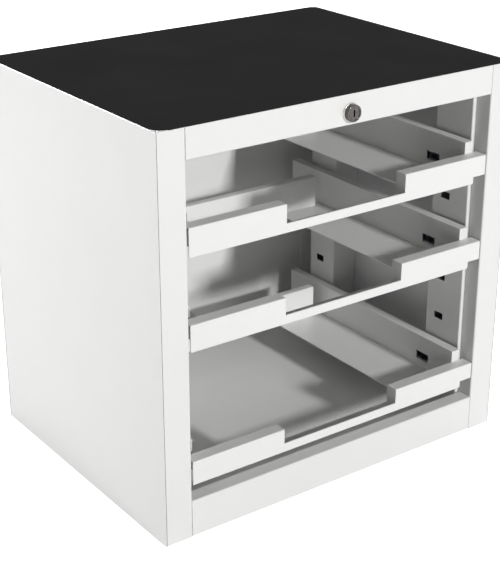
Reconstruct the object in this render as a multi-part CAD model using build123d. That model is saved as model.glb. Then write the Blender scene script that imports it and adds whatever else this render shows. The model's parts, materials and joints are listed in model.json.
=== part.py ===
from build123d import *
import math
import os

# Tool case storage cabinet: a folded sheet steel case with three full-extension pull-outs
# that carry tool cases, a rubber mat on top and one lock that bars all the pull-outs.
# Millimetres, +Z up, +X to the right seen from the front, the front faces -Y.
# The origin is on the floor under the middle of the whole, the lock's nose included.

# The whole
WIDTH = 520.0
DEPTH = 396.0
HEIGHT = 500.0
LOCK_PROUD = 7.5
SIDE = WIDTH / 2
FRONT = (LOCK_PROUD - DEPTH) / 2
BACK = FRONT + DEPTH
CUT = 1.0  # how far a cutting block runs past the face it cuts

# Case sheet
GAUGE = 1.2
BEND = 2.0
LIP_TOP = HEIGHT - 0.4
HEM = 3.0
HEM_DROP = 14.0
POST = 37.5
POST_RETURN = 23.0
REAR_FLANGE = 20.0
FOOT_FLANGE = 24.0
FOOT_START = 25.0
POST_INNER = SIDE - POST
SIDE_INNER = SIDE - GAUGE
BACK_INNER = BACK - GAUGE

# Top
MAT_THICK = 3.0
MAT_INSET = 3.2
MAT_CORNER = 3.0
MAT_GAP = 0.2
PANEL_TOP = HEIGHT - MAT_THICK
PANEL_UNDER = PANEL_TOP - GAUGE
RAIL_BOTTOM = 463.3
RAIL_TAB = 24.0

# Base
SILL_TOP = 48.5
SILL_RETURN = 20.0
FLOOR_TOP = 30.0
FLOOR_START = 30.0
FLOOR_DROP = 18.0

# Slotted uprights inside the case, two on each side
UPRIGHT_FACE = 216.7
UPRIGHT_GAUGE = 1.5
UPRIGHT_FOOT = 12.0
UPRIGHT_TOP = 460.0
FRONT_UPRIGHT = 23.0
FRONT_UPRIGHT_END = 87.5
REAR_UPRIGHT = 287.2
REAR_UPRIGHT_END = 341.0
SLOT_WIDE = 16.0
SLOT_HIGH = 9.4
SLOT_FIRST = 89.7
SLOT_PITCH = 56.67
SLOT_COUNT = 6
FRONT_SLOT = 63.6
REAR_SLOT = 318.0

# Pull-outs: height of each one's underside, lowest first
SLOT_OVER = 20.7
LEVELS = {
    "bottom": SLOT_FIRST - SLOT_OVER,
    "middle": SLOT_FIRST - SLOT_OVER + 3 * SLOT_PITCH,
    "top": SLOT_FIRST - SLOT_OVER + 5 * SLOT_PITCH,
}

# Front panel of a pull-out: a low strip between two tall hooks
TRAY_GAUGE = 1.4
FRONT_HALF = 220.5
NOTCH_HALF = 88.5
STRIP_HIGH = 11.6
STRIP_RIGHT = 201.0
STEP_HIGH = 8.7
HOOK_HIGH = {"bottom": 31.0, "middle": 33.6, "top": 34.9}
HOOK_DEEP = 17.0
STRIP_DEEP = 25.0
FRONT_ROUND = 1.2

# Side walls of a pull-out, each with a ledge for the case
WALL_INNER = 200.6
WALL_OUTER = WALL_INNER + TRAY_GAUGE
WALL_HIGH = {"bottom": 46.0, "middle": 48.6, "top": 49.5}
WALL_START = HOOK_DEEP
WALL_END = 366.0
WALL_FLANGE = 213.5
TAB_ROUND = 2.0
RIGHT_LEDGE = 124.5
LEFT_LEDGE = 161.0
LEDGE_END = 306.0
LEFT_START = 32.0
LEFT_START_HIGH = 38.0
LEFT_FULL_HIGH = 42.0
LEFT_FLANGE_START = 52.0
WINDOW_START = 62.0
WINDOW_END = 85.0
WINDOW_LOW = 10.4
WINDOW_TOP = 22.4

# Rear stop of a pull-out
STOP_FACE = 295.0
STOP_HALF = 187.0
STOP_TOP = 46.0
STOP_DEEP = 11.0

# Telescopic slide, measured from the upright's face towards the pull-out and up from its underside
RAIL_GAUGE = 1.2
OUTER_WEB = 1.6
OUTER_TIP = 12.4
OUTER_LOW = 4.0
OUTER_HIGH = 42.0
MIDDLE_WEB = 4.0
MIDDLE_TIP = 13.4
MIDDLE_LOW = 7.4
MIDDLE_HIGH = 38.6
INNER_TIP = 7.4
INNER_LOW = 10.8
INNER_HIGH = 35.2
RAIL_START = 19.2
LEFT_RAIL_START = 38.0
RAIL_END = 365.0
MIDDLE_END = 352.0
ACCESS_START = 58.0
ACCESS_END = 90.0
ACCESS_LOW = 12.0
ACCESS_TOP = 33.4
BUFFER_START = 354.0
BUFFER_TIP = 6.6
HOOK_WIDE = 12.0
HOOK_NECK = 4.0
HOOK_DROP = 9.0
HOOK_PAST = 3.8

# Lock in the top rail
LOCK_Z = 478.5
FLANGE_R = 11.5
FLANGE_THICK = 2.0
FLANGE_CHAMFER = 0.8
BEZEL_R = 10.2
BEZEL_ROUND = 1.0
BARREL_R = 9.0
BARREL_END = 24.0
CORE_R = 7.0
RUNNING = 0.05
CORE_SET_BACK = 0.8
CORE_END = 26.2
BORE_FACE_R = 8.0
KEY_WIDE = 2.2
KEY_HIGH = 8.2
KEY_DEEP = 14.0
NUT_R = 13.5
NUT_THICK = 3.0
STUB = 8.0
CAM_THICK = 2.5
CAM_R = 8.0
CRANK = 10.0
CRANK_ANGLE = 45.0
CRANK_PIN_R = 2.0
CRANK_PIN_END = 34.2
CAM_SCREW_R = 3.6
CAM_SCREW_HEAD = 1.6
CAM_SCREW_SHANK_R = 2.0
CAM_SCREW_DEEP = 8.0

# Drive rod behind the top rail, and the locking bar in the left front upright
THROW = 2 * CRANK * math.sin(math.radians(CRANK_ANGLE))
ROD_Y = 31.0
ROD_THICK = 2.0
ROD_LOW = 464.0
ROD_HIGH = 476.5
ROD_RIGHT = 17.0
ROD_LEFT = -237.0
ROD_HEAD_RIGHT = -206.0
ROD_HEAD_LOW = 463.0
ROD_HEAD_HIGH = 485.0
CAM_SLOT_WIDE = 5.2
BAR_Y = 34.0
BAR_THICK = 3.0
BAR_OUTER = -240.0
BAR_INNER = -219.5
BAR_LOW = 106.0
BAR_HIGH = 483.0
BAR_LIFT = 8.0
BAR_PIN_X = -230.0
BAR_PIN_Z = 478.0
BAR_PIN_R = 2.5
BAR_PIN_SLOT = 5.8
LUG_TIP = -204.5
LUG_HIGH = 8.0
LUG_OVER = 52.2
LUG_SLOT_START = 32.0
LUG_SLOT_END = 39.0
LUG_SLOT_SPARE = 1.5
CATCH_START = 40.0
CATCH_END = 50.0
CATCH_LOW = 43.5
CATCH_HIGH = 51.0
CATCH_FACE = 3.0
CATCH_TOP = 2.0
GUIDE_GAP = 0.3
GUIDE_WALL = 1.2
ROD_GUIDES = (-150.0, -60.0)
BAR_GUIDES = (200.0, 360.0)
GUIDE_WIDE = 12.0


def block(x0, x1, y0, y1, z0, z1):
    """A box by its two corners, y counted from the front plane."""
    centre = Pos((x0 + x1) / 2, FRONT + (y0 + y1) / 2, (z0 + z1) / 2)
    return centre * Box(abs(x1 - x0), abs(y1 - y0), abs(z1 - z0))


def rod_y(x, z, radius, y0, y1):
    """A round bar along Y, y counted from the front plane."""
    return Pos(x, FRONT + (y0 + y1) / 2, z) * Rot(90, 0, 0) * Cylinder(radius, y1 - y0)


def folded(points, plane, length, gauge=GAUGE):
    """A folded sheet: its section's middle line, rounded at each bend, pulled along the plane."""
    line = FilletPolyline(*points, radius=BEND - gauge / 2)
    return extrude(plane * trace(line, line_width=gauge), length)


def plan(z):
    """A plane for sections seen from above."""
    return Plane.XY.offset(z)


def side_view(x):
    """A plane for sections seen from the left end: first number is Y, second is Z."""
    return Plane(origin=(x, 0, 0), x_dir=(0, 1, 0), z_dir=(1, 0, 0))


def front_view(y):
    """A plane for sections seen from the front, which pulls them towards the back."""
    return Plane(origin=(0, FRONT + y, 0), x_dir=(1, 0, 0), z_dir=(0, -1, 0))


def left_of(part):
    """The same piece for the left side."""
    return mirror(part, about=Plane.YZ)


def right_side_panel():
    """Side sheet with the front post, its return and the rear flange folded from it."""
    mid = GAUGE / 2
    section = [
        (POST_INNER + mid, FRONT + POST_RETURN),
        (POST_INNER + mid, FRONT + mid),
        (SIDE - mid, FRONT + mid),
        (SIDE - mid, BACK_INNER - mid),
        (SIDE - REAR_FLANGE, BACK_INNER - mid),
    ]
    panel = folded(section, plan(0), LIP_TOP)
    panel += block(SIDE - HEM, SIDE_INNER, GAUGE, DEPTH - 2 * GAUGE, LIP_TOP - HEM_DROP, LIP_TOP)
    panel += block(SIDE_INNER - FOOT_FLANGE, SIDE_INNER, FOOT_START, DEPTH - HEM, 0, GAUGE)
    under_mat = block(0, SIDE - HEM, GAUGE, DEPTH - GAUGE, PANEL_UNDER, HEIGHT)
    return panel - under_mat


def back_panel():
    """Plain sheet that closes the back, over the rear flanges."""
    return block(-SIDE, SIDE, DEPTH - GAUGE, DEPTH, 0, LIP_TOP)


def top_panel():
    """Shallow pan under the mat, its sides turned down inside the hems."""
    mid = GAUGE / 2
    edge = SIDE - HEM - mid
    low = LIP_TOP - HEM_DROP
    section = [(-edge, low), (-edge, PANEL_TOP - mid), (edge, PANEL_TOP - mid), (edge, low)]
    end = DEPTH - 2 * GAUGE
    return folded(section, front_view(end), end - GAUGE)


def top_front_rail():
    """Rail over the pull-outs that carries the lock, with a tab under the top panel."""
    mid = GAUGE / 2
    section = [
        (FRONT + POST_RETURN, RAIL_BOTTOM + mid),
        (FRONT + mid, RAIL_BOTTOM + mid),
        (FRONT + mid, LIP_TOP),
    ]
    rail = folded(section, side_view(-POST_INNER), 2 * POST_INNER)
    rail += block(-POST_INNER, POST_INNER, GAUGE, RAIL_TAB, PANEL_UNDER - GAUGE, PANEL_UNDER)
    return rail - rod_y(0, LOCK_Z, BARREL_R + RUNNING, -CUT, GAUGE + CUT)


def top_mat():
    """Rubber mat let into the top."""
    half = SIDE - MAT_INSET
    mat = block(-half, half, GAUGE + MAT_GAP, DEPTH - GAUGE - MAT_GAP, PANEL_TOP, HEIGHT)
    return fillet(mat.edges().filter_by(Axis.Z), MAT_CORNER)


def floor_panel():
    """Floor of the inside, its sides turned down."""
    mid = GAUGE / 2
    edge = SIDE_INNER - mid
    low = FLOOR_TOP - FLOOR_DROP
    section = [(-edge, low), (-edge, FLOOR_TOP - mid), (edge, FLOOR_TOP - mid), (edge, low)]
    end = DEPTH - 2 * GAUGE - BEND
    return folded(section, front_view(end), end - FLOOR_START)


def front_sill():
    """Low sill under the pull-outs."""
    mid = GAUGE / 2
    section = [
        (FRONT + POST_RETURN, mid),
        (FRONT + mid, mid),
        (FRONT + mid, SILL_TOP - mid),
        (FRONT + SILL_RETURN, SILL_TOP - mid),
    ]
    return folded(section, side_view(-POST_INNER), 2 * POST_INNER)


def right_upright(start, end, slot):
    """Channel welded to the side, with a row of slots that the slides hook into."""
    mid = UPRIGHT_GAUGE / 2
    near = FRONT + start + mid
    far = FRONT + end - mid
    foot = SIDE_INNER - mid
    face = UPRIGHT_FACE + mid
    section = [
        (foot, near + UPRIGHT_FOOT),
        (foot, near),
        (face, near),
        (face, far),
        (foot, far),
        (foot, far - UPRIGHT_FOOT),
    ]
    upright = folded(section, plan(FLOOR_TOP), UPRIGHT_TOP - FLOOR_TOP, UPRIGHT_GAUGE)
    for number in range(SLOT_COUNT):
        z = SLOT_FIRST + number * SLOT_PITCH
        upright -= block(
            UPRIGHT_FACE - CUT, UPRIGHT_FACE + UPRIGHT_GAUGE + CUT,
            slot - SLOT_WIDE / 2, slot + SLOT_WIDE / 2,
            z - SLOT_HIGH / 2, z + SLOT_HIGH / 2,
        )
    return upright


def front_left_upright():
    """The left front upright also has a tall slot for each lug of the locking bar."""
    upright = left_of(right_upright(FRONT_UPRIGHT, FRONT_UPRIGHT_END, FRONT_SLOT))
    for level in LEVELS.values():
        low = level + LUG_OVER - BAR_LIFT - LUG_SLOT_SPARE
        high = level + LUG_OVER + LUG_HIGH + LUG_SLOT_SPARE
        upright -= block(
            -UPRIGHT_FACE - UPRIGHT_GAUGE - CUT, CUT - UPRIGHT_FACE,
            LUG_SLOT_START, LUG_SLOT_END, low, high,
        )
    return upright


def slide_channel(web, tip, low, high, start, end):
    """A slide member for the right side: a channel with its web at one depth and its tips at another."""
    x_web = UPRIGHT_FACE - web
    x_tip = UPRIGHT_FACE - tip
    towards_tip = math.copysign(RAIL_GAUGE, x_tip - x_web)
    channel = block(x_web, x_web + towards_tip, start, end, low, high)
    channel += block(x_web, x_tip, start, end, low, low + RAIL_GAUGE)
    channel += block(x_web, x_tip, start, end, high - RAIL_GAUGE, high)
    return channel


def access_window(level):
    """Window through the inner and middle members, in line with the one in the wall."""
    return block(
        WALL_INNER, UPRIGHT_FACE - MIDDLE_WEB + CUT,
        ACCESS_START, ACCESS_END, level + ACCESS_LOW, level + ACCESS_TOP,
    )


def right_outer_rail(level, start):
    """Fixed member of a slide, hooked into the slots of both uprights."""
    low, high = level + OUTER_LOW, level + OUTER_HIGH
    rail = slide_channel(OUTER_WEB, OUTER_TIP, low, high, start, RAIL_END)
    for slot in (FRONT_SLOT, REAR_SLOT):
        slot_floor = level + SLOT_OVER - SLOT_HIGH / 2
        y0, y1 = slot - HOOK_WIDE / 2, slot + HOOK_WIDE / 2
        rail += block(
            UPRIGHT_FACE - OUTER_WEB, UPRIGHT_FACE + HOOK_PAST,
            y0, y1, slot_floor, slot_floor + HOOK_NECK,
        )
        rail += block(
            UPRIGHT_FACE + UPRIGHT_GAUGE + GUIDE_GAP, UPRIGHT_FACE + HOOK_PAST,
            y0, y1, slot_floor + HOOK_NECK - HOOK_DROP, slot_floor + HOOK_NECK,
        )
    return rail


def right_middle_rail(level, start):
    """Member that runs half as far as the pull-out."""
    low, high = level + MIDDLE_LOW, level + MIDDLE_HIGH
    rail = slide_channel(MIDDLE_WEB, MIDDLE_TIP, low, high, start, MIDDLE_END)
    return rail - access_window(level)


def right_inner_rail(level, start):
    """Member fixed to the pull-out's side wall."""
    low, high = level + INNER_LOW, level + INNER_HIGH
    web = UPRIGHT_FACE - WALL_OUTER
    rail = slide_channel(web, INNER_TIP, low, high, start, RAIL_END)
    return rail - access_window(level)


def slide_buffers():
    """Soft stops in the rear ends of the fixed members, one for each slide."""
    buffers = []
    for level in LEVELS.values():
        stop = block(
            UPRIGHT_FACE - BUFFER_TIP, UPRIGHT_FACE - OUTER_WEB - RAIL_GAUGE,
            BUFFER_START, RAIL_END, level + ACCESS_LOW, level + ACCESS_TOP,
        )
        buffers += [stop, left_of(stop)]
    return Compound(children=buffers)


def pullout_front(level, hook_high):
    """Front of a pull-out: one sheet with a low strip, two hooks and flanges turned back."""
    outline = Polyline(
        (-FRONT_HALF, 0), (STRIP_RIGHT, 0), (STRIP_RIGHT, STEP_HIGH), (FRONT_HALF, STEP_HIGH),
        (FRONT_HALF, hook_high), (NOTCH_HALF, hook_high), (NOTCH_HALF, STRIP_HIGH),
        (-NOTCH_HALF, STRIP_HIGH), (-NOTCH_HALF, hook_high), (-FRONT_HALF, hook_high), close=True,
    )
    panel = Pos(0, 0, level) * extrude(front_view(TRAY_GAUGE) * make_face(outline), TRAY_GAUGE)
    top = level + hook_high
    hook = block(NOTCH_HALF, FRONT_HALF, 0, HOOK_DEEP, top - TRAY_GAUGE, top)
    hook += block(NOTCH_HALF, NOTCH_HALF + TRAY_GAUGE, 0, HOOK_DEEP, level, top)
    panel += hook
    panel += left_of(hook)
    panel += block(-WALL_INNER, WALL_INNER, 0, STRIP_DEEP, level, level + TRAY_GAUGE)
    face_edges = panel.edges().filter_by(Axis.X).group_by(Axis.Y)[0]
    return fillet(face_edges, FRONT_ROUND)


def windowed_wall(level, high, start, start_high, full_from, ledge, flange_start):
    """Side of a pull-out: wall that rises to its full height, ledge for the case, top flange, window."""
    top = level + high
    side = Polyline(
        (FRONT + start, level), (FRONT + start, level + start_high), (FRONT + full_from, top),
        (FRONT + WALL_END, top), (FRONT + WALL_END, level), close=True,
    )
    wall = extrude(side_view(WALL_INNER) * make_face(side), TRAY_GAUGE)
    wall += block(ledge, WALL_OUTER, STRIP_DEEP, LEDGE_END, level, level + TRAY_GAUGE)
    wall += block(WALL_INNER, WALL_FLANGE, flange_start, WALL_END, top - TRAY_GAUGE, top)
    return wall - block(
        WALL_INNER - CUT, WALL_OUTER + CUT,
        WINDOW_START, WINDOW_END, level + WINDOW_LOW, level + WINDOW_TOP,
    )


def right_wall(level, high):
    """Right side of a pull-out, with a tab folded outwards behind the hook."""
    wall = windowed_wall(level, high, WALL_START, high - TRAY_GAUGE, WALL_START, RIGHT_LEDGE, WALL_START)
    tab = block(WALL_INNER, WALL_FLANGE, WALL_START, WALL_START + TRAY_GAUGE, level, level + high)
    corner = tab.edges().filter_by(Axis.Y).group_by(Axis.Z)[-1].sort_by(Axis.X)[-1]
    return wall + fillet(corner, TAB_ROUND)


def left_wall(level, high):
    """Left side of a pull-out: it starts further back and lower, clear of the locking bar's lug."""
    return left_of(windowed_wall(
        level, high, LEFT_START, LEFT_START_HIGH, LEFT_FULL_HIGH, LEFT_LEDGE, LEFT_FLANGE_START,
    ))


def rear_stop(level):
    """Cross piece that the case butts against, flanged back at the top and on the ledges."""
    mid = TRAY_GAUGE / 2
    low, high = level + TRAY_GAUGE + mid, level + STOP_TOP - mid
    face, back = FRONT + STOP_FACE + mid, FRONT + STOP_FACE + STOP_DEEP
    section = [(back, low), (face, low), (face, high), (back, high)]
    return folded(section, side_view(-STOP_HALF), 2 * STOP_HALF, TRAY_GAUGE)


def lock_catch(level):
    """Bracket on the left wall that the locking bar's lug stands in front of."""
    low, high = level + CATCH_LOW, level + CATCH_HIGH
    catch = block(-WALL_FLANGE, -WALL_OUTER, CATCH_START, CATCH_START + CATCH_FACE, low, high)
    catch += block(-WALL_OUTER - CATCH_FACE, -WALL_OUTER, CATCH_START, CATCH_END, low, high)
    catch += block(-WALL_FLANGE, -WALL_OUTER, CATCH_START, CATCH_END, high - CATCH_TOP, high)
    return catch


def lock_housing():
    """Lock body: flange and bezel on the rail's face, barrel through it, bored for the core."""
    housing = rod_y(0, LOCK_Z, FLANGE_R, -FLANGE_THICK, 0)
    housing = chamfer(housing.edges().group_by(Axis.Y)[0], FLANGE_CHAMFER)
    housing += rod_y(0, LOCK_Z, BEZEL_R, -LOCK_PROUD, -FLANGE_THICK)
    housing += rod_y(0, LOCK_Z, BARREL_R, 0, BARREL_END)
    rim = housing.edges().filter_by(GeomType.CIRCLE).group_by(Axis.Y)[0]
    housing = fillet(rim, BEZEL_ROUND)
    recess = rod_y(0, LOCK_Z, BORE_FACE_R, -LOCK_PROUD, CORE_SET_BACK - LOCK_PROUD)
    return housing - recess - rod_y(0, LOCK_Z, CORE_R, -LOCK_PROUD, BARREL_END)


def lock_nut():
    """Hexagon nut that clamps the housing to the rail."""
    hexagon = RegularPolygon(NUT_R, 6) - Circle(BARREL_R)
    nut = extrude(front_view(GAUGE + NUT_THICK) * hexagon, NUT_THICK)
    return Pos(0, 0, LOCK_Z) * nut


def lock_core():
    """Plug that the key turns, with its keyway in front and a square stub behind."""
    face = CORE_SET_BACK - LOCK_PROUD
    core = rod_y(0, LOCK_Z, CORE_R - RUNNING, face, CORE_END)
    half = KEY_WIDE / 2
    core -= block(-half, half, face, face + KEY_DEEP, LOCK_Z - KEY_HIGH / 2, LOCK_Z + KEY_HIGH / 2)
    square = STUB / 2
    core += block(-square, square, CORE_END, CORE_END + CAM_THICK, LOCK_Z - square, LOCK_Z + square)
    return core - rod_y(0, LOCK_Z, CAM_SCREW_SHANK_R, CORE_END + CAM_THICK - CAM_SCREW_DEEP, ROD_Y)


def crank_centre():
    """The crank pin stands below the lock's axis, at 45 degrees to the right when unlocked."""
    angle = math.radians(CRANK_ANGLE)
    return CRANK * math.sin(angle), LOCK_Z - CRANK * math.cos(angle)


def lock_cam():
    """Cam on the core's stub, with the crank pin that moves the drive rod."""
    x, z = crank_centre()
    low, high = CORE_END, CORE_END + CAM_THICK
    arm = SlotCenterToCenter(CRANK, 2 * CAM_R)
    arm = front_view(high) * Rot(0, 0, -CRANK_ANGLE) * arm
    cam = Pos(x / 2, 0, (LOCK_Z + z) / 2) * extrude(arm, CAM_THICK)
    square = STUB / 2
    cam -= block(-square, square, low - CUT, high + CUT, LOCK_Z - square, LOCK_Z + square)
    return cam + rod_y(x, z, CRANK_PIN_R, high - CUT, CRANK_PIN_END)


def cam_screw():
    """Screw that holds the cam on the core."""
    end = CORE_END + CAM_THICK
    head = rod_y(0, LOCK_Z, CAM_SCREW_R, end, end + CAM_SCREW_HEAD)
    return head + rod_y(0, LOCK_Z, CAM_SCREW_SHANK_R, end - CAM_SCREW_DEEP, end)


def drive_rod():
    """Flat rod behind the rail: an upright slot takes the crank pin, a slanted one lifts the bar."""
    y0, y1 = ROD_Y, ROD_Y + ROD_THICK
    rod = block(ROD_LEFT, ROD_RIGHT, y0, y1, ROD_LOW, ROD_HIGH)
    rod += block(ROD_LEFT, ROD_HEAD_RIGHT, y0, y1, ROD_HEAD_LOW, ROD_HEAD_HIGH)
    x, z = crank_centre()
    deepest = LOCK_Z - CRANK
    reach = CRANK_PIN_R + GUIDE_GAP
    half = CAM_SLOT_WIDE / 2
    rod -= block(x - half, x + half, y0 - CUT, y1 + CUT, deepest - reach, z + reach)
    length = math.hypot(THROW, BAR_LIFT)
    slope = -math.degrees(math.atan2(BAR_LIFT, THROW))
    slant = front_view(y1 + CUT) * Rot(0, 0, slope) * SlotCenterToCenter(length, BAR_PIN_SLOT)
    middle = Pos(BAR_PIN_X + THROW / 2, 0, BAR_PIN_Z - BAR_LIFT / 2)
    return rod - middle * extrude(slant, ROD_THICK + 2 * CUT)


def rod_guides():
    """Hangers under the top panel that the drive rod slides in."""
    hangers = []
    for x in ROD_GUIDES:
        y0, y1 = ROD_Y - GUIDE_GAP, ROD_Y + ROD_THICK + GUIDE_GAP
        x0, x1 = x - GUIDE_WIDE / 2, x + GUIDE_WIDE / 2
        low, high = ROD_LOW - GUIDE_GAP, ROD_HIGH + GUIDE_GAP
        hanger = block(x0, x1, y0 - GUIDE_WALL, y1 + GUIDE_WALL, low - GUIDE_WALL, PANEL_UNDER)
        hangers.append(hanger - block(x0 - CUT, x1 + CUT, y0, y1, low, high))
    return Compound(children=hangers)


def locking_bar():
    """Flat bar that drops inside the left front upright, with one lug for each pull-out."""
    y0, y1 = BAR_Y, BAR_Y + BAR_THICK
    bar = block(BAR_OUTER, BAR_INNER, y0, y1, BAR_LOW, BAR_HIGH)
    for level in LEVELS.values():
        low = level + LUG_OVER
        bar += block(BAR_INNER, LUG_TIP, y0, y1, low, low + LUG_HIGH)
    return bar + rod_y(BAR_PIN_X, BAR_PIN_Z, BAR_PIN_R, ROD_Y - CUT, BAR_Y)


def bar_guides():
    """Loops welded inside the upright that the locking bar slides in."""
    loops = []
    for z in BAR_GUIDES:
        y0, y1 = BAR_Y - GUIDE_GAP, BAR_Y + BAR_THICK + GUIDE_GAP
        x0, x1 = BAR_OUTER - GUIDE_GAP, BAR_INNER + GUIDE_GAP
        low, high = z - GUIDE_WIDE / 2, z + GUIDE_WIDE / 2
        face = -UPRIGHT_FACE - UPRIGHT_GAUGE
        loop = block(x0 - GUIDE_WALL, face, y0 - GUIDE_WALL, y1 + GUIDE_WALL, low, high)
        loops.append(loop - block(x0, x1, y0, y1, low - CUT, high + CUT))
    return Compound(children=loops)


def case_pieces():
    """Everything that stands still, by name."""
    front_upright = right_upright(FRONT_UPRIGHT, FRONT_UPRIGHT_END, FRONT_SLOT)
    rear_upright = right_upright(REAR_UPRIGHT, REAR_UPRIGHT_END, REAR_SLOT)
    right_panel = right_side_panel()
    return {
        "right_side_panel": right_panel,
        "left_side_panel": left_of(right_panel),
        "back_panel": back_panel(),
        "top_panel": top_panel(),
        "floor_panel": floor_panel(),
        "front_sill": front_sill(),
        "top_front_rail": top_front_rail(),
        "top_mat": top_mat(),
        "front_right_upright": front_upright,
        "front_left_upright": front_left_upright(),
        "rear_right_upright": rear_upright,
        "rear_left_upright": left_of(rear_upright),
        "slide_buffers": slide_buffers(),
    }


def lock_pieces():
    """The lock and what it drives, by name."""
    return {
        "lock_housing": lock_housing(),
        "lock_nut": lock_nut(),
        "lock_core": lock_core(),
        "lock_cam": lock_cam(),
        "cam_screw": cam_screw(),
        "drive_rod": drive_rod(),
        "rod_guides": rod_guides(),
        "locking_bar": locking_bar(),
        "bar_guides": bar_guides(),
    }


def pullout_pieces(name, level):
    """One pull-out with its two slides, by name; the left slide starts further back, like its wall."""
    return {
        name + "_pullout_front": pullout_front(level, HOOK_HIGH[name]),
        name + "_pullout_right_wall": right_wall(level, WALL_HIGH[name]),
        name + "_pullout_left_wall": left_wall(level, WALL_HIGH[name]),
        name + "_pullout_rear_stop": rear_stop(level),
        name + "_pullout_lock_catch": lock_catch(level),
        name + "_right_outer_rail": right_outer_rail(level, RAIL_START),
        name + "_left_outer_rail": left_of(right_outer_rail(level, LEFT_RAIL_START)),
        name + "_right_middle_rail": right_middle_rail(level, RAIL_START),
        name + "_left_middle_rail": left_of(right_middle_rail(level, LEFT_RAIL_START)),
        name + "_right_inner_rail": right_inner_rail(level, RAIL_START),
        name + "_left_inner_rail": left_of(right_inner_rail(level, LEFT_RAIL_START)),
    }


def write(pieces):
    """One STEP file for each named piece."""
    for name, piece in pieces.items():
        export_step(piece, f"parts/{name}.step")


os.makedirs("parts", exist_ok=True)
write(case_pieces())
write(lock_pieces())
for tray, height in LEVELS.items():
    write(pullout_pieces(tray, height))
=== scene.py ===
# %% [markdown]
# # A cabinet for tool cases
# The cabinet is folded from white powder-coated sheet steel. Three pull-outs on ball slides
# carry the cases, a rubber mat lies in the top, and one lock bars all the pull-outs.
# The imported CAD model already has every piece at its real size. This script gives each piece
# its surface, rounds the edges that paint would round, and adds the small parts that only show
# close up, such as the balls in the slides. Everything is in metres.

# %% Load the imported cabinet
import json
import math

import bmesh
import bpy
from mathutils import Matrix, Vector

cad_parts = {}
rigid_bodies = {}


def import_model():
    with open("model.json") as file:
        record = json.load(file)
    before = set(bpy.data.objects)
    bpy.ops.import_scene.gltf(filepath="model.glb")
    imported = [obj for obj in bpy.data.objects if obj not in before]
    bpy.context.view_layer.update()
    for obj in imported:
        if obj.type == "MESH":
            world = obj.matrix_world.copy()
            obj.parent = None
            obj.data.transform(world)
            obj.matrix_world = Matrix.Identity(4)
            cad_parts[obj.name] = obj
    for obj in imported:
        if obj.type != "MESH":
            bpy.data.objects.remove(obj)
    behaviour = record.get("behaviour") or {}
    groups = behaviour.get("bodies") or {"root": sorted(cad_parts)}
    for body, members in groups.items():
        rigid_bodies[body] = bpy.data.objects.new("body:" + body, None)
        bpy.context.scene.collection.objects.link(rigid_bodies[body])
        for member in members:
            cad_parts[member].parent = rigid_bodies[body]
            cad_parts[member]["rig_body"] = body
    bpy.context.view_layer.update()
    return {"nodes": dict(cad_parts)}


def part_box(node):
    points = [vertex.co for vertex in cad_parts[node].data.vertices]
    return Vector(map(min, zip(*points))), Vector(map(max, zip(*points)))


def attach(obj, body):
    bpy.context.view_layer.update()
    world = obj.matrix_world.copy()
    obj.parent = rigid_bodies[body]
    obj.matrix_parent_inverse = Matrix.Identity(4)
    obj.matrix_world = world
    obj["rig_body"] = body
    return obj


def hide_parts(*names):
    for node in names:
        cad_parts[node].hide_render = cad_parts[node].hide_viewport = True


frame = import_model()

MM = 0.001
nodes = frame["nodes"]
body_of = {name: piece["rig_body"] for name, piece in nodes.items()}

# %% [markdown]
# ## The view
# The photograph looks at the cabinet from its left front, a little from above, through a lens
# of moderate length. The camera is placed by the direction from the cabinet to the lens, the
# distance and the point that lies in the middle of the picture, because those are the numbers
# that a photographer would set. The picture is 500 by 571 pixels, so its long side is the
# upright one, and Blender measures the focal length against that side. The photographer
# shifted the lens to keep upright lines parallel. Here the lens isn't shifted, because a large
# shift would push the cabinet out of the picture from other sides, so upright lines draw
# together a little downwards.

# %% Place the camera
PICTURE_HIGH = 571
FOCAL_PIXELS = 1387.6
SENSOR = 36.0
VIEW_AZIMUTH = math.radians(-35.77)
VIEW_ELEVATION = math.radians(23.16)
VIEW_DISTANCE = 1.827
LOOK_AT = Vector((0.0043, 0.0058, 0.1955))


def direction(azimuth, elevation):
    """Towards a place round the cabinet: azimuth from the front to the right, elevation up."""
    return Vector((
        math.sin(azimuth) * math.cos(elevation),
        -math.cos(azimuth) * math.cos(elevation),
        math.sin(elevation),
    ))


def stand_at(thing, target, out, distance):
    """Puts a camera or a lamp this far out from its target and turns it to the target."""
    thing.location = target + out * distance
    thing.rotation_mode = "QUATERNION"
    thing.rotation_quaternion = (-out).to_track_quat("-Z", "Y")
    bpy.context.scene.collection.objects.link(thing)


lens = bpy.data.cameras.new("photo_lens")
lens.sensor_width = SENSOR
lens.lens = FOCAL_PIXELS / PICTURE_HIGH * SENSOR
camera = bpy.data.objects.new("photo_camera", lens)
stand_at(camera, LOOK_AT, direction(VIEW_AZIMUTH, VIEW_ELEVATION), VIEW_DISTANCE)
bpy.context.scene.camera = camera
bpy.context.scene.view_settings.view_transform = "Standard"
print("lens", round(lens.lens, 1), "mm, camera at", [round(x, 3) for x in camera.location])

# %% [markdown]
# ## Colours and nodes
# Paint cards and product pages give colours as sRGB hex values, and a shader wants linear
# light, so one function turns the first into the second. Materials are built from nodes, and
# one more function adds a node with its settings, its fixed inputs and what feeds it. That
# keeps each material readable as a short list.

# %% One function for colours, one for nodes
SRGB_KNEE = 0.04045
SRGB_SLOPE = 12.92
SRGB_OFFSET = 0.055
SRGB_POWER = 2.4
CHANNEL_FULL = 255


def linear_share(share):
    """One sRGB channel from 0 to 1 as linear light."""
    if share <= SRGB_KNEE:
        return share / SRGB_SLOPE
    return ((share + SRGB_OFFSET) / (1 + SRGB_OFFSET)) ** SRGB_POWER


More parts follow.
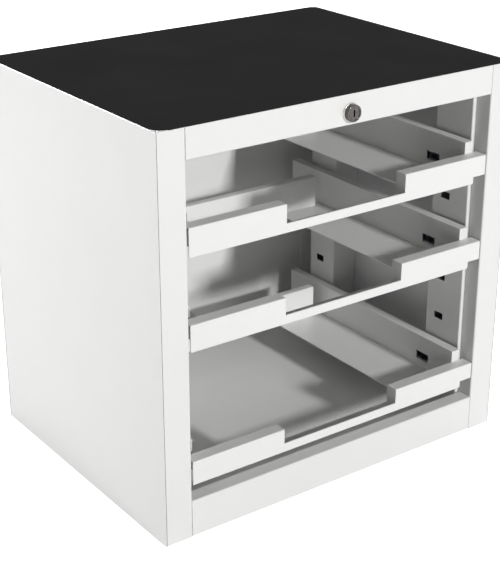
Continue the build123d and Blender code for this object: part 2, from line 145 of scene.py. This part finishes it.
def linear(hex_colour):
    """sRGB hex to linear red, green, blue and alpha."""
    channels = bytes.fromhex(hex_colour.removeprefix("#"))
    return (*[linear_share(channel / CHANNEL_FULL) for channel in channels], 1.0)


def add(tree, kind, settings=(), values=(), links=()):
    """Adds one node, with its settings, its fixed inputs and the sockets that feed it."""
    node = tree.nodes.new(kind)
    for name, value in dict(settings).items():
        setattr(node, name, value)
    for socket, value in dict(values).items():
        node.inputs[socket].default_value = value
    for socket, source in dict(links).items():
        tree.links.new(source, node.inputs[socket])
    return node


def new_material(name):
    """An empty material, its tree and its Principled shader."""
    material = bpy.data.materials.new(name)
    material.use_nodes = True
    shader = material.node_tree.nodes["Principled BSDF"]
    return material, material.node_tree, shader


def per_metre(millimetres):
    """The Scale of a texture whose features are about this large."""
    return 1 / (millimetres * MM)


print("white paint as light", [round(x, 3) for x in linear("#e6e6e5")[:3]])

# %% [markdown]
# ## White powder coat
# Powder coat is sprayed on as dust and baked. It flows into a satin skin that is a little
# thicker and rounder than wet paint, with a fine waviness that painters call orange peel. The
# eye reads it by soft, slightly broken reflections. Real orange peel is about 1 mm from crest
# to crest. That is finer than a pixel of the photograph, so it is drawn at 2.5 mm. The colour
# is nearly even, and a slow change of about one percent stands for the film's thickness.

# %% Powder coat for the case and for the pull-outs
PEEL_MM = 2.5
PEEL_DEEP_MM = 0.012
FILM_DRIFT_MM = 90.0
PAINT_IOR = 1.5


def powder_coat(name, thin, thick, smooth, rough):
    """Satin powder coat between two close whites."""
    material, tree, shader = new_material(name)
    place = add(tree, "ShaderNodeTexCoord").outputs["Object"]
    drift = add(tree, "ShaderNodeTexNoise",
                values={"Scale": per_metre(FILM_DRIFT_MM), "Detail": 2.0},
                links={"Vector": place})
    colour = add(tree, "ShaderNodeMix", {"data_type": "RGBA"},
                 values={"A": linear(thin), "B": linear(thick)},
                 links={"Factor": drift.outputs["Fac"]})
    gloss = add(tree, "ShaderNodeMapRange",
                values={"To Min": smooth, "To Max": rough},
                links={"Value": drift.outputs["Fac"]})
    peel = add(tree, "ShaderNodeTexNoise",
               values={"Scale": per_metre(PEEL_MM), "Detail": 1.0},
               links={"Vector": place})
    relief = add(tree, "ShaderNodeBump",
                 values={"Strength": 1.0, "Distance": PEEL_DEEP_MM * MM},
                 links={"Height": peel.outputs["Fac"]})
    tree.links.new(colour.outputs["Result"], shader.inputs["Base Color"])
    tree.links.new(gloss.outputs["Result"], shader.inputs["Roughness"])
    tree.links.new(relief.outputs["Normal"], shader.inputs["Normal"])
    shader.inputs["IOR"].default_value = PAINT_IOR
    return material


case_paint = powder_coat("white_powder_coat_case", thin="#e4e4e3", thick="#e7e7e6",
                         smooth=0.30, rough=0.36)
pullout_paint = powder_coat("white_powder_coat_pullouts", thin="#e6e6e5", thick="#e9e9e8",
                            smooth=0.28, rough=0.34)
print(case_paint.name, "and", pullout_paint.name)

# %% [markdown]
# ## Rubber
# The mat is calendered nitrile rubber: black, matt, with a fine grain from the roller, so that
# cases don't slide. The grain breaks the reflections up until none are left to see, so the
# shader's own mirror reflection is off. The grain's cells are about 0.8 mm and are drawn at
# 1.6 mm, so that they still show. The buffers in the slides are moulded from the same kind of
# rubber, with a quarter of the grain's depth, and darker.

# %% Rubber for the mat and the buffers
GRAIN_MM = 1.6
GRAIN_DEEP_MM = 0.06
SMEAR_MM = 120.0
RUBBER_IOR = 1.52


def rubber(name, dark, light, roughness, grain_deep_mm):
    """Black rubber with a moulded grain and faint smears."""
    material, tree, shader = new_material(name)
    place = add(tree, "ShaderNodeTexCoord").outputs["Object"]
    smear = add(tree, "ShaderNodeTexNoise",
                values={"Scale": per_metre(SMEAR_MM), "Detail": 4.0, "Roughness": 0.6},
                links={"Vector": place})
    colour = add(tree, "ShaderNodeMix", {"data_type": "RGBA"},
                 values={"A": linear(dark), "B": linear(light)},
                 links={"Factor": smear.outputs["Fac"]})
    grain = add(tree, "ShaderNodeTexVoronoi",
                values={"Scale": per_metre(GRAIN_MM)},
                links={"Vector": place})
    relief = add(tree, "ShaderNodeBump",
                 values={"Strength": 1.0, "Distance": grain_deep_mm * MM},
                 links={"Height": grain.outputs["Distance"]})
    tree.links.new(colour.outputs["Result"], shader.inputs["Base Color"])
    tree.links.new(relief.outputs["Normal"], shader.inputs["Normal"])
    shader.inputs["Roughness"].default_value = roughness
    shader.inputs["IOR"].default_value = RUBBER_IOR
    shader.inputs["Specular IOR Level"].default_value = 0.0
    return material


mat_rubber = rubber("calendered_nitrile_rubber", dark="#2f2f2f", light="#393939",
                    roughness=0.9, grain_deep_mm=GRAIN_DEEP_MM)
buffer_rubber = rubber("moulded_black_rubber", dark="#1e1e1e", light="#262626",
                       roughness=0.6, grain_deep_mm=GRAIN_DEEP_MM / 4)
print(mat_rubber.name, "and", buffer_rubber.name)

# %% [markdown]
# ## Zinc-plated steel
# The slides and the lock's rods are cold-rolled steel with a thin bright zinc plate. Rolling
# leaves fine lines along the strip, and the plate takes them on, so highlights stretch across
# the lines. The slides were rolled along Y and the rods are cut from sheet with no clear
# direction. The lines are about 0.3 mm apart and are drawn at 0.9 mm.

# %% Zinc plate, rolled or plain
ROLLED_LINE_MM = 0.9
ROLLED_LONG_MM = 60.0
LINE_DEEP_MM = 0.004
PLATE_CLOUD_MM = 14.0


def zinc_plate(name, dull, bright, long_mm, smooth, rough):
    """Bright zinc on steel, with marks of this length along Y."""
    material, tree, shader = new_material(name)
    place = add(tree, "ShaderNodeTexCoord").outputs["Object"]
    across, along = per_metre(ROLLED_LINE_MM), per_metre(long_mm)
    stretched = add(tree, "ShaderNodeMapping",
                    values={"Scale": (across, along, across)},
                    links={"Vector": place})
    lines = add(tree, "ShaderNodeTexNoise",
                values={"Scale": 1.0, "Detail": 3.0},
                links={"Vector": stretched.outputs["Vector"]})
    cloud = add(tree, "ShaderNodeTexNoise",
                values={"Scale": per_metre(PLATE_CLOUD_MM), "Detail": 2.0},
                links={"Vector": place})
    colour = add(tree, "ShaderNodeMix", {"data_type": "RGBA"},
                 values={"A": linear(dull), "B": linear(bright)},
                 links={"Factor": cloud.outputs["Fac"]})
    gloss = add(tree, "ShaderNodeMapRange",
                values={"To Min": smooth, "To Max": rough},
                links={"Value": lines.outputs["Fac"]})
    relief = add(tree, "ShaderNodeBump",
                 values={"Strength": 0.5, "Distance": LINE_DEEP_MM * MM},
                 links={"Height": lines.outputs["Fac"]})
    tree.links.new(colour.outputs["Result"], shader.inputs["Base Color"])
    tree.links.new(gloss.outputs["Result"], shader.inputs["Roughness"])
    tree.links.new(relief.outputs["Normal"], shader.inputs["Normal"])
    shader.inputs["Metallic"].default_value = 1.0
    return material


slide_zinc = zinc_plate("rolled_zinc_plated_steel", dull="#aeb2b6", bright="#c4c7ca",
                        long_mm=ROLLED_LONG_MM, smooth=0.24, rough=0.40)
rod_zinc = zinc_plate("zinc_plated_sheet_steel", dull="#a7abb0", bright="#bdbfc1",
                      long_mm=ROLLED_LINE_MM, smooth=0.28, rough=0.42)
print(slide_zinc.name, "and", rod_zinc.name)

# %% [markdown]
# ## Nickel and bearing steel
# The lock is die-cast and turned, then plated and polished. Its body and its plug have dark,
# warm nickel, and its flange and nut have bright nickel. Both are mirrors with faint rings from
# the lathe, which run round the lock's own axis. Real rings are about 0.1 mm apart and are
# drawn at 1 mm. The phase of a wave texture grows by 20 for each metre at Scale 1, and a ring
# is done when the phase has grown by a full turn, which gives the Scale. The balls in the
# slides are hardened bearing steel, ground so smooth that only their reflections show. The
# same function makes it, with rings too faint to see.

# %% Nickel for the lock, bearing steel for the balls
LATHE_RING_MM = 0.987
WAVE_RATE = 20.0
STAIN_MM = 4.0
lock_low, lock_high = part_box("lock_core")
lock_axis = (lock_low + lock_high) / 2


def turned_metal(name, dark, bright, smooth, rough):
    """Polished metal whose gloss changes in rings round the lock's axis."""
    material, tree, shader = new_material(name)
    place = add(tree, "ShaderNodeTexCoord").outputs["Object"]
    centred = add(tree, "ShaderNodeMapping",
                  values={"Location": (-lock_axis.x, 0.0, -lock_axis.z), "Scale": (1.0, 0.0, 1.0)},
                  links={"Vector": place})
    rings = add(tree, "ShaderNodeTexWave",
                {"wave_type": "RINGS", "rings_direction": "SPHERICAL"},
                values={"Scale": per_metre(LATHE_RING_MM) * math.tau / WAVE_RATE},
                links={"Vector": centred.outputs["Vector"]})
    stain = add(tree, "ShaderNodeTexNoise",
                values={"Scale": per_metre(STAIN_MM), "Detail": 3.0},
                links={"Vector": place})
    colour = add(tree, "ShaderNodeMix", {"data_type": "RGBA"},
                 values={"A": linear(dark), "B": linear(bright)},
                 links={"Factor": stain.outputs["Fac"]})
    gloss = add(tree, "ShaderNodeMapRange",
                values={"To Min": smooth, "To Max": rough},
                links={"Value": rings.outputs["Fac"]})
    tree.links.new(colour.outputs["Result"], shader.inputs["Base Color"])
    tree.links.new(gloss.outputs["Result"], shader.inputs["Roughness"])
    shader.inputs["Metallic"].default_value = 1.0
    return material


lock_nickel = turned_metal("turned_nickel_plate", dark="#b5b3af", bright="#cfcdc8",
                           smooth=0.20, rough=0.32)
dark_nickel = turned_metal("black_nickel_plate", dark="#454442", bright="#6b6967",
                           smooth=0.14, rough=0.26)
ball_steel = turned_metal("ground_bearing_steel", dark="#b9bcc0", bright="#cdd0d3",
                          smooth=0.06, rough=0.08)
print(lock_nickel.name + ",", dark_nickel.name, "and", ball_steel.name)

# %% [markdown]
# ## Painted sheet
# A laser cuts the blanks, a press brake folds them, and the paint then draws back from every
# cut edge and rounds it. A CAD edge is perfectly sharp, and sharp edges never catch the light,
# so each painted piece is a copy of its CAD node with the split corners merged, the flat faces
# cleaned and the sharp edges bevelled by about a fifth of a millimetre. The copy stands for the
# node. A weighted normal modifier then keeps the large faces evenly lit.

# %% Round the edges of the case
PAINT_EDGE = 0.22 * MM
EDGE_STEPS = 2
WELD = 0.002 * MM
FLAT = math.radians(0.4)
SHARP = math.radians(40)
CASE_SHEETS = (
    "right_side_panel", "left_side_panel", "back_panel", "top_panel", "floor_panel",
    "front_sill", "top_front_rail", "front_right_upright", "front_left_upright",
    "rear_right_upright", "rear_left_upright",
)


def finish_piece(piece, material, body):
    """Gives a new piece its material and its body, and even light on flat faces."""
    piece.data.materials.clear()
    piece.data.materials.append(material)
    for face in piece.data.polygons:
        face.use_smooth = True
    piece.data.set_sharp_from_angle(angle=SHARP)
    even = piece.modifiers.new("even_light", "WEIGHTED_NORMAL")
    even.keep_sharp = True
    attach(piece, body)


def piece_from(bm, name):
    """An object that holds a bmesh, at the origin."""
    mesh = bpy.data.meshes.new(name)
    bm.to_mesh(mesh)
    bm.free()
    piece = bpy.data.objects.new(name, mesh)
    bpy.context.scene.collection.objects.link(piece)
    return piece


def round_edges(bm, edges, radius, steps):
    """Bevels edges along an arc of this many steps."""
    bmesh.ops.bevel(bm, geom=edges, offset=radius, offset_type="OFFSET", segments=steps,
                    profile=0.5, affect="EDGES", clamp_overlap=False, material=-1)


def rounded_copy(node, material, radius=PAINT_EDGE):
    """A copy of a CAD node with its sharp edges bevelled, which stands for the node."""
    bm = bmesh.new()
    bm.from_mesh(nodes[node].data)
    bmesh.ops.remove_doubles(bm, verts=bm.verts, dist=WELD)
    bmesh.ops.dissolve_limit(bm, angle_limit=FLAT, verts=bm.verts, edges=bm.edges)
    sharp = [e for e in bm.edges if e.is_manifold and e.calc_face_angle() > SHARP]
    round_edges(bm, sharp, radius, EDGE_STEPS)
    piece = piece_from(bm, "rounded_" + node)
    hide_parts(node)
    finish_piece(piece, material, body_of[node])
    return piece


for name in CASE_SHEETS:
    made = rounded_copy(name, case_paint)
    print(made.name, len(made.data.polygons), "faces")

# %% [markdown]
# ## Pull-outs
# The pull-outs are bent from the same kind of sheet and painted a shade lighter, so the same
# function makes them, with their own paint.

# %% Round the edges of the pull-outs
LEVELS = ("bottom", "middle", "top")
PULLOUT_SHEETS = ("front", "right_wall", "left_wall", "rear_stop", "lock_catch")

for level in LEVELS:
    faces = 0
    for sheet in PULLOUT_SHEETS:
        made = rounded_copy(f"{level}_pullout_{sheet}", pullout_paint)
        faces += len(made.data.polygons)
    print(level, "pull-out,", len(PULLOUT_SHEETS), "painted pieces,", faces, "faces")

# %% [markdown]
# ## The mat
# The mat is a 3 mm sheet, cut with rounded corners and let into the top. A block with bevelled
# corners and a bevelled upper rim is all that it needs, and the grain is in its material.

# %% Cut the mat
MAT_CORNER = 14.0 * MM
CORNER_STEPS = 10
MAT_RIM = 0.6 * MM
RIM_STEPS = 3


def add_block(bm, low, high):
    """Adds a block between two corners."""
    size = Matrix.Diagonal((*(high - low), 1.0))
    bmesh.ops.create_cube(bm, size=1.0, matrix=Matrix.Translation((low + high) / 2) @ size)


mat_low, mat_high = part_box("top_mat")
bm = bmesh.new()
add_block(bm, mat_low, mat_high)
upright_edges = [e for e in bm.edges if abs(e.verts[0].co.z - e.verts[1].co.z) > MM]
round_edges(bm, upright_edges, MAT_CORNER, CORNER_STEPS)
rim = [e for e in bm.edges if all(v.co.z > mat_high.z - WELD for v in e.verts)]
round_edges(bm, rim, MAT_RIM, RIM_STEPS)
mat = piece_from(bm, "rubber_mat")
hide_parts("top_mat")
finish_piece(mat, mat_rubber, body_of["top_mat"])
print(mat.name, len(mat.data.polygons), "faces")

# %% [markdown]
# ## Corners beside the mat
# The mat's corners are rounder than the recess in the top, and painted gussets stand beside
# them. Each starts as a ring of points a little wider than the mat's corner. The ring's quarter
# towards the recess's corner stays, that corner itself is added, and one face over all these
# points is pulled down into a solid. A face over loose points takes them in their order round
# their middle. So this one follows the arc and runs out to the recess's corner in a narrow
# spike. It doesn't fill the corner, and the recess's painted floor shows beside the spike.

# %% Put gussets beside the mat's corners
GUSSET_GAP = 0.15 * MM
GUSSET_DOWN = 0.1 * MM
RING_POINTS = 48


def add_gusset(bm, across, along):
    """Adds a gusset at the corner that lies this way, -1 or 1, across and along the top."""
    outwards = Vector((across, along, 0.0))
    corner_y = mat_low.y if along < 0 else mat_high.y
    corner = Vector((across * mat_high.x, corner_y, mat_high.z - GUSSET_DOWN))
    centre = corner - outwards * MAT_CORNER
    ring = bmesh.ops.create_circle(bm, segments=RING_POINTS, radius=MAT_CORNER + GUSSET_GAP,
                                   matrix=Matrix.Translation(centre))["verts"]
    others = [v for v in ring
              if min((v.co.x - centre.x) * across, (v.co.y - centre.y) * along) < -WELD]
    quarter = [v for v in ring if v not in others]
    bmesh.ops.delete(bm, geom=others, context="VERTS")
    tip = bmesh.ops.create_vert(bm, co=corner + outwards * GUSSET_GAP)["vert"]
    face = bmesh.ops.contextual_create(bm, geom=quarter + tip)["faces"]
    pulled = bmesh.ops.extrude_face_region(bm, geom=face)["geom"]
    low_verts = [v for v in pulled if isinstance(v, bmesh.types.BMVert)]
    bmesh.ops.translate(bm, vec=(0.0, 0.0, mat_low.z - corner.z), verts=low_verts)


bm = bmesh.new()
for across in (-1, 1):
    for along in (-1, 1):
        add_gusset(bm, across, along)
bmesh.ops.recalc_face_normals(bm, faces=bm.faces)
gussets = piece_from(bm, "top_corner_gussets")
finish_piece(gussets, case_paint, body_of["top_panel"])
print(gussets.name, len(gussets.data.polygons), "faces")

# %% [markdown]
# ## Joints between the sheets
# Thin dark grey lines are painted shade. One runs down beside each front corner, where the side
# sheet is folded round, and a finer one marks the shade in the joint at the right end of the rail
# and of the sill. The lines are a few tenths of a millimetre wide and stand hardly proud of the
# paint, so they are thin blocks let into the surface.

# %% Paint shade into the joints
CORNER_LINE = 0.6 * MM
END_LINE = 0.25 * MM
JOINT_DEEP = 0.30 * MM
JOINT_PROUD = 0.02 * MM
CORNER_IN = 1.8 * MM
UNEVEN_SHADE_MM = 6.0
JOINT_SHADE_ROUGHNESS = 0.7

rail_low, rail_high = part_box("top_front_rail")
sill_low, sill_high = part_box("front_sill")
side_low, side_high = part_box("left_side_panel")
front_face = rail_low.y


def add_joint_line(bm, x, wide, low_z, high_z):
    """Adds an upright line of this width in the front's surface."""
    add_block(bm, Vector((x - wide / 2, front_face - JOINT_PROUD, low_z)),
              Vector((x + wide / 2, front_face + JOINT_DEEP, high_z)))


# Painted shade: this dark grey stands for the shade in the butt joints and along the folded front
# corners, and its noise only makes it uneven.
joint_shade, tree, shader = new_material("painted_joint_shade")
place = add(tree, "ShaderNodeTexCoord").outputs["Object"]
uneven_shade = add(tree, "ShaderNodeTexNoise",
           values={"Scale": per_metre(UNEVEN_SHADE_MM), "Detail": 2.0},
           links={"Vector": place})
grey = add(tree, "ShaderNodeMix", {"data_type": "RGBA"},
           values={"A": linear("#3a3a3a"), "B": linear("#585858")},
           links={"Factor": uneven_shade.outputs["Fac"]})
tree.links.new(grey.outputs["Result"], shader.inputs["Base Color"])
shader.inputs["Roughness"].default_value = JOINT_SHADE_ROUGHNESS

# Thin blocks of painted shade at the right end of the rail and the sill, and beside both front
# corners.
bm = bmesh.new()
add_joint_line(bm, rail_high.x, END_LINE, rail_low.z, rail_high.z)
add_joint_line(bm, rail_high.x, END_LINE, sill_low.z, sill_high.z)
for x in (side_low.x + CORNER_IN, -side_low.x - CORNER_IN):
    add_joint_line(bm, x, CORNER_LINE, side_low.z, side_high.z)
joints = piece_from(bm, "painted_joint_shade_lines")
finish_piece(joints, joint_shade, body_of["top_front_rail"])
print(joints.name, len(joints.data.polygons), "faces")

# %% [markdown]
# ## The lock
# The lock's body and its plug are turned, and the turner breaks each edge by about a tenth of a
# millimetre. The same rounding as on the sheets gives them that thin bright line. The body is
# dark in front, and its flange and all that lies behind it are bright, so the body has two
# materials and its faces are shared out by how far back they lie.

# %% Break the edges of the lock
TURNED_EDGE = 0.12 * MM
FLANGE_THICK = 2.0 * MM

for name in ("lock_housing", "lock_core"):
    made = rounded_copy(name, dark_nickel, TURNED_EDGE)
    print(made.name, len(made.data.polygons), "faces")

housing = bpy.data.objects["rounded_lock_housing"]
housing.data.materials.append(lock_nickel)
bright_index = len(housing.data.materials) - 1
flange_from = front_face - FLANGE_THICK - WELD
bright_faces = [face for face in housing.data.polygons if face.center.y > flange_from]
for face in bright_faces:
    face.material_index = bright_index
print(len(bright_faces), "faces in", lock_nickel.name)

# %% [markdown]
# ## Balls in the slides
# Each slide runs on four rows of balls: two between the fixed member and the middle one, and
# two between the middle one and the member on the pull-out. A thin strip keeps the balls of a
# row apart. All the rows travel with the middle member here. The rows on the pull-out's side
# fill its front half and the others its rear half, so that at full reach every ball still
# lies between two members. The balls are small and many, so each has only a few faces.

# %% Fill the slides with balls
BALL = 2.0 * MM
BALL_SIDES = 8
BALL_RINGS = 6
BALL_PITCH = 8.0 * MM
ROW_END_GAP = 8.0 * MM
ROW_SHARE = 0.46
MEMBER_GAUGE = 1.2 * MM
STRIP_WIDE = 4.4 * MM
STRIP_THICK = 0.4 * MM


def rows_between(inside, outside, start, end):
    """The two rows, below and above, between a member and the wider one round it."""
    x = (max(inside[0].x, outside[0].x) + min(inside[1].x, outside[1].x)) / 2
    below = (outside[0].z + MEMBER_GAUGE + inside[0].z) / 2
    above = (outside[1].z - MEMBER_GAUGE + inside[1].z) / 2
    return [(x, z, start, end) for z in (below, above)]


def slide_rows(slide):
    """The four rows of one slide."""
    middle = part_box(slide + "_middle_rail")
    reach = (middle[1].y - middle[0].y) * ROW_SHARE
    front, back = middle[0].y + ROW_END_GAP, middle[1].y - ROW_END_GAP
    rows = rows_between(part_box(slide + "_inner_rail"), middle, front, front + reach)
    return rows + rows_between(middle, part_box(slide + "_outer_rail"), back - reach, back)


def fill_slide(slide):
    """Adds the balls and the strips of one slide, and says how many balls there are."""
    balls, strips = bmesh.new(), bmesh.new()
    count = 0
    for x, z, start, end in slide_rows(slide):
        for number in range(int((end - start) / BALL_PITCH)):
            place = Vector((x, start + (number + 0.5) * BALL_PITCH, z))
            bmesh.ops.create_uvsphere(balls, u_segments=BALL_SIDES, v_segments=BALL_RINGS,
                                      radius=BALL / 2, matrix=Matrix.Translation(place))
            count += 1
        add_block(strips, Vector((x - STRIP_WIDE / 2, start, z - STRIP_THICK / 2)),
                  Vector((x + STRIP_WIDE / 2, end, z + STRIP_THICK / 2)))
    body = body_of[slide + "_middle_rail"]
    finish_piece(piece_from(balls, slide + "_balls"), ball_steel, body)
    finish_piece(piece_from(strips, slide + "_ball_strips"), slide_zinc, body)
    return count


for level in LEVELS:
    for side in ("left", "right"):
        print(level, side, "slide,", fill_slide(f"{level}_{side}"), "balls")

# %% [markdown]
# ## Pieces that keep their CAD shape
# The slides, the rods, the lock's inner parts and the rubber buffers have the right shape
# already. They only need their material.

# %% Cover the other pieces
def cover(names, material):
    """Gives CAD nodes their material."""
    for name in names:
        nodes[name].data.materials.clear()
        nodes[name].data.materials.append(material)
    print(material.name, "on", len(names), "pieces")


cover([n for n in nodes if n.endswith(("outer_rail", "middle_rail", "inner_rail"))], slide_zinc)
cover(["drive_rod", "locking_bar", "lock_cam", "cam_screw", "rod_guides", "bar_guides"], rod_zinc)
cover(["lock_nut"], lock_nickel)
cover(["slide_buffers"], buffer_rubber)

# %% [markdown]
# ## Floor
# The photograph has a white ground that runs into a white background. Here the floor is a
# large matt plate. To the light that bounces about, it is an ordinary white floor. To the
# camera and in reflections it also glows, so that the open floor comes out plain white, and
# only the cabinet's own soft shadow stays a little darker. The glow is a touch stronger far
# from the cabinet, where the lamps no longer reach. The floor lies a hair below the cabinet's
# foot, so that no two faces share a plane.

# %% Lay the floor
FLOOR_HALF = 12.0
FLOOR_DOWN = 0.05 * MM
FLOOR_ROUGHNESS = 0.9
FADE_NEAR = 0.6
FADE_FAR = 1.6
GLOW_NEAR = 0.80
WHITE = (1.0, 1.0, 1.0, 1.0)


def seen_share(tree):
    """1 for what the camera sees directly, in a reflection or through glass, otherwise 0."""
    path = add(tree, "ShaderNodeLightPath")
    direct = add(tree, "ShaderNodeMath", {"operation": "MAXIMUM"},
                 links={0: path.outputs["Is Camera Ray"], 1: path.outputs["Is Glossy Ray"]})
    either = add(tree, "ShaderNodeMath", {"operation": "MAXIMUM"},
                 links={0: direct.outputs[0], 1: path.outputs["Is Transmission Ray"]})
    return either.outputs[0]


bm = bmesh.new()
bmesh.ops.create_grid(bm, x_segments=1, y_segments=1, size=FLOOR_HALF)
bmesh.ops.translate(bm, vec=(0.0, 0.0, -FLOOR_DOWN), verts=bm.verts)
floor = piece_from(bm, "studio_floor")

floor_paint, tree, shader = new_material("matt_white_studio_floor")
shader.inputs["Base Color"].default_value = linear("#e6e6e6")
shader.inputs["Roughness"].default_value = FLOOR_ROUGHNESS
shader.inputs["Specular IOR Level"].default_value = 0.0
place = add(tree, "ShaderNodeTexCoord").outputs["Object"]
away = add(tree, "ShaderNodeVectorMath", {"operation": "LENGTH"}, links={0: place})
glow = add(tree, "ShaderNodeMapRange",
           values={"From Min": FADE_NEAR, "From Max": FADE_FAR, "To Min": GLOW_NEAR, "To Max": 1.0},
           links={"Value": away.outputs["Value"]})
strength = add(tree, "ShaderNodeMath", {"operation": "MULTIPLY"},
               links={0: glow.outputs["Result"], 1: seen_share(tree)})
tree.links.new(strength.outputs[0], shader.inputs["Emission Strength"])
shader.inputs["Emission Color"].default_value = WHITE
floor.data.materials.append(floor_paint)
print(floor.name, "of", round(2 * FLOOR_HALF), "by", round(2 * FLOOR_HALF), "m")

# %% [markdown]
# ## Background
# The world is white where the camera or a reflection sees it, like the paper behind a product.
# As a source of light it is faint, so that the lamps alone draw the shadows.

# %% Light the room evenly
AMBIENT = 0.02

world = bpy.data.worlds.new("white_room")
bpy.context.scene.world = world
world.use_nodes = True
tree = world.node_tree
brightness = add(tree, "ShaderNodeMapRange",
                 values={"To Min": AMBIENT, "To Max": 1.0},
                 links={"Value": seen_share(tree)})
background = tree.nodes["Background"]
tree.links.new(brightness.outputs["Result"], background.inputs["Strength"])
background.inputs["Color"].default_value = WHITE
print("the room gives", AMBIENT)

# %% [markdown]
# ## Lamps
# The edges of the shadows inside the cabinet show where the photograph's main light stood:
# in front, a little to the right and some 21 degrees up. A wide soft light on the left brings
# out the side, and two more light the sides that the photograph doesn't show. All but the main
# light stand where they can't shine into the open front.

# %% Hang the lamps
AIM = Vector((0.0, 0.0, 0.25))


def lamp(name, azimuth, elevation, distance, width, height, share):
    """A rectangular lamp that points at the cabinet. White that faces it shows this share."""
    light = bpy.data.lights.new(name, "AREA")
    light.shape = "RECTANGLE"
    light.size = width
    light.size_y = height
    light.energy = share * (math.pi * distance) ** 2
    holder = bpy.data.objects.new(name, light)
    out = direction(math.radians(azimuth), math.radians(elevation))
    stand_at(holder, AIM, out, distance)
    print(name, round(light.energy), "W")


lamp("main_light", azimuth=5.6, elevation=20.6, distance=7.0, width=0.75, height=0.50, share=0.76)
lamp("left_light", azimuth=-105, elevation=15, distance=3.0, width=1.6, height=1.6, share=0.60)
lamp("back_light", azimuth=165, elevation=25, distance=3.5, width=1.6, height=1.2, share=0.44)
lamp("right_light", azimuth=105, elevation=25, distance=3.5, width=1.6, height=1.2, share=0.50)
